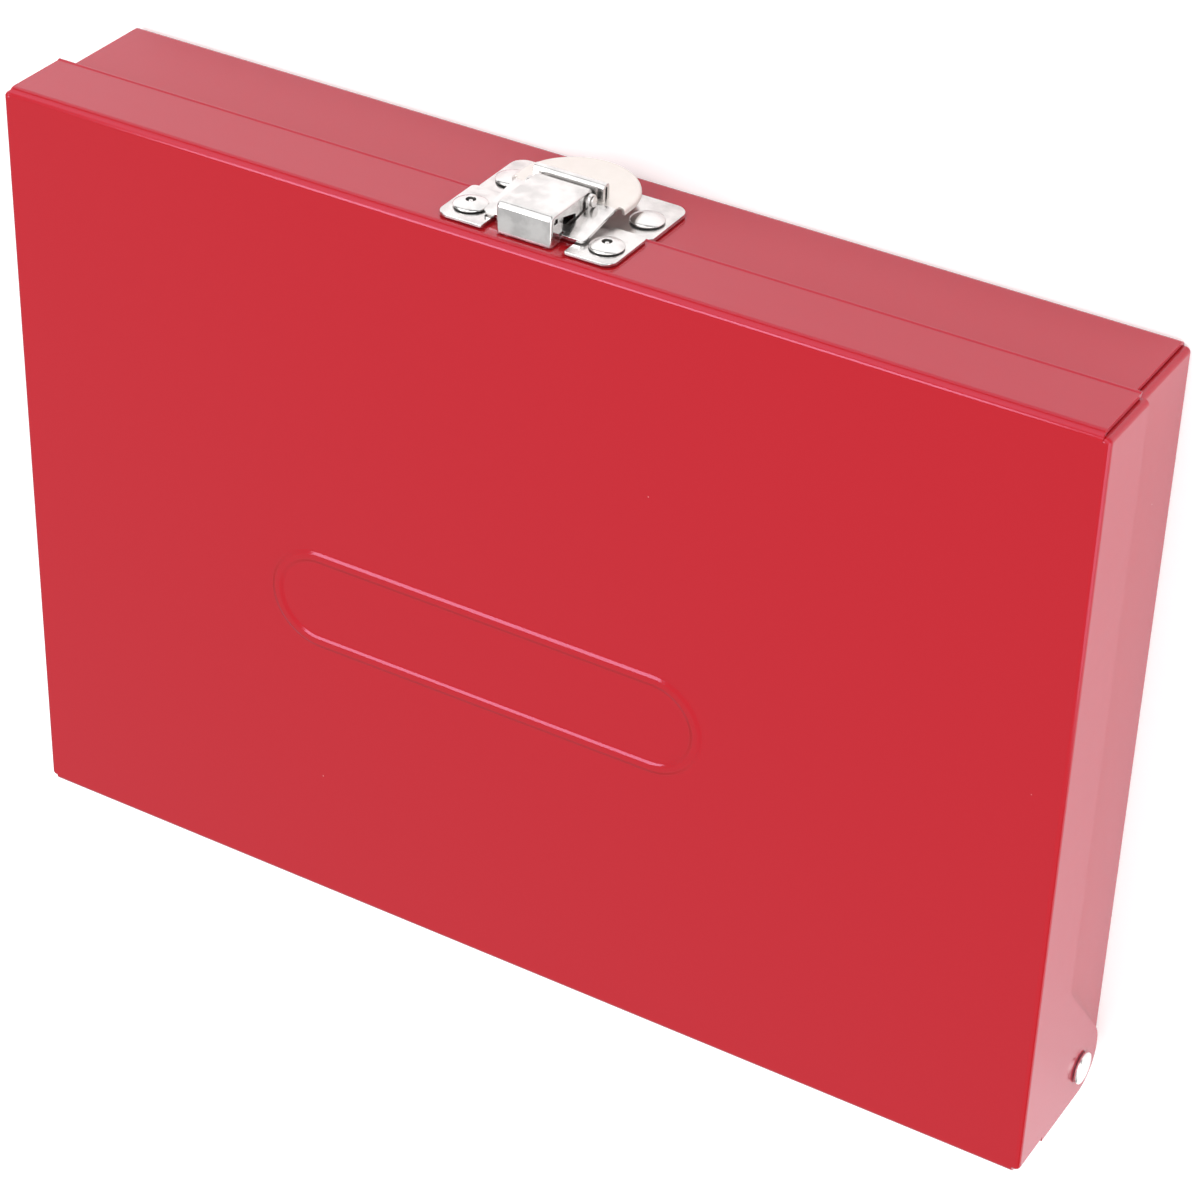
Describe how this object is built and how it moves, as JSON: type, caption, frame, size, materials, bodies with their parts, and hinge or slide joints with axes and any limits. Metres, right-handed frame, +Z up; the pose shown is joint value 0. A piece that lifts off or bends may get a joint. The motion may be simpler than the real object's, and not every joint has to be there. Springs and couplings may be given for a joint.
{
  "type": "metal tool box",
  "caption": "Flat sheet-steel tool box with a folded lid that swings on riveted end ears and an over-centre draw latch on the long side.",
  "frame": {"origin": "on the table under the middle of the closed lid's outline, on the tray's flat underside", "axes": "+Z up through the lid; +X along the long side, to the right for someone facing the latch; the latch is on the -Y side and the hinge on the +Y side"},
  "size_m": [0.2676, 0.1971, 0.0451],
  "materials": {
    "red_enamel": "glossy stoved enamel with slight orange peel",
    "nickel_plate": "bright nickel plate with soft reflections",
    "rivet_metal": "plain satin"
  },
  "bodies": {
    "tray": {"base_rivet_left": "nickel_plate", "base_rivet_right": "nickel_plate", "hinge_rivet_left": "rivet_metal", "hinge_rivet_right": "rivet_metal", "hinge_spacer_left": "nickel_plate", "hinge_spacer_right": "nickel_plate", "hinge_washer_left": "nickel_plate", "hinge_washer_right": "nickel_plate", "latch_base_plate": "nickel_plate", "lever_pivot_pin": "nickel_plate", "tray_shell": "red_enamel"},
    "lid": {"keeper_plate": "nickel_plate", "keeper_rivet_left": "nickel_plate", "keeper_rivet_right": "nickel_plate", "lid_shell": "red_enamel"},
    "latch_lever": {"hook_pivot_pin": "nickel_plate", "latch_lever": "nickel_plate"},
    "latch_hook": {"latch_hook": "nickel_plate"}
  },
  "joints": [
    {"name": "lid_hinge", "type": "hinge", "parent": "tray", "child": "lid", "pos_m": [0, 0.085, 0.0148], "axis": [-1, 0, 0], "range_deg": [0, 98]},
    {"name": "latch_lever_hinge", "type": "hinge", "parent": "tray", "child": "latch_lever", "pos_m": [0, -0.0992, 0.0364], "axis": [-1, 0, 0], "range_deg": [0, 85]},
    {"name": "latch_hook_hinge", "type": "hinge", "parent": "latch_lever", "child": "latch_hook", "pos_m": [0, -0.0998, 0.0272], "axis": [1, 0, 0], "range_deg": [0, 90]}
  ],
  "couplings": [
    {"joint": "latch_hook_hinge", "follows": "latch_lever_hinge", "ratio": 1.05}
  ]
}
